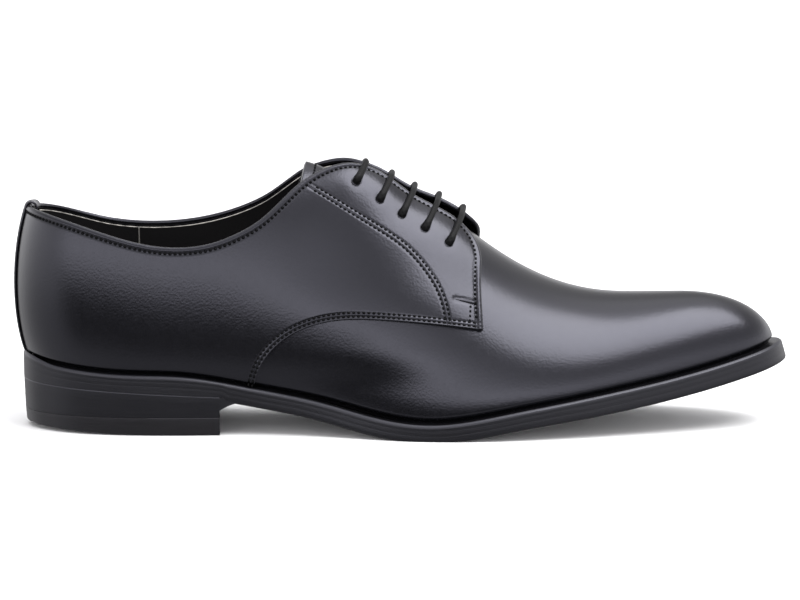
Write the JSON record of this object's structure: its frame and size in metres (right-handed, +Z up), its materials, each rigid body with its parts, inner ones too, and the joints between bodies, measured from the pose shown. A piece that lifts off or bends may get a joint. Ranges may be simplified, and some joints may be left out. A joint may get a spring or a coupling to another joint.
{
  "type": "dress shoe",
  "caption": "Plain-toe derby dress shoe for the right foot: smooth leather upper laced over a tongue, on a thin rubber sole with a stacked low heel.",
  "frame": {"origin": "centre of the overall bounding box, on the floor plane under the sole", "axes": "+X towards the toe, +Y towards the inner (medial) side, -Y towards the outer (lateral) side, +Z up"},
  "size_m": [0.3076, 0.0974, 0.1048],
  "materials": {
    "black calf leather": "semi-gloss",
    "black lining leather": "matt",
    "black moulded rubber": "satin",
    "black waxed lace": "satin"
  },
  "bodies": {
    "root": {"upper": "black calf leather", "tongue": "black calf leather", "back_strip": "black calf leather", "insole": "black lining leather", "outsole": "black moulded rubber", "heel_block": "black moulded rubber", "heel_top_piece": "black moulded rubber", "lace": "black waxed lace"}
  },
  "joints": []
}
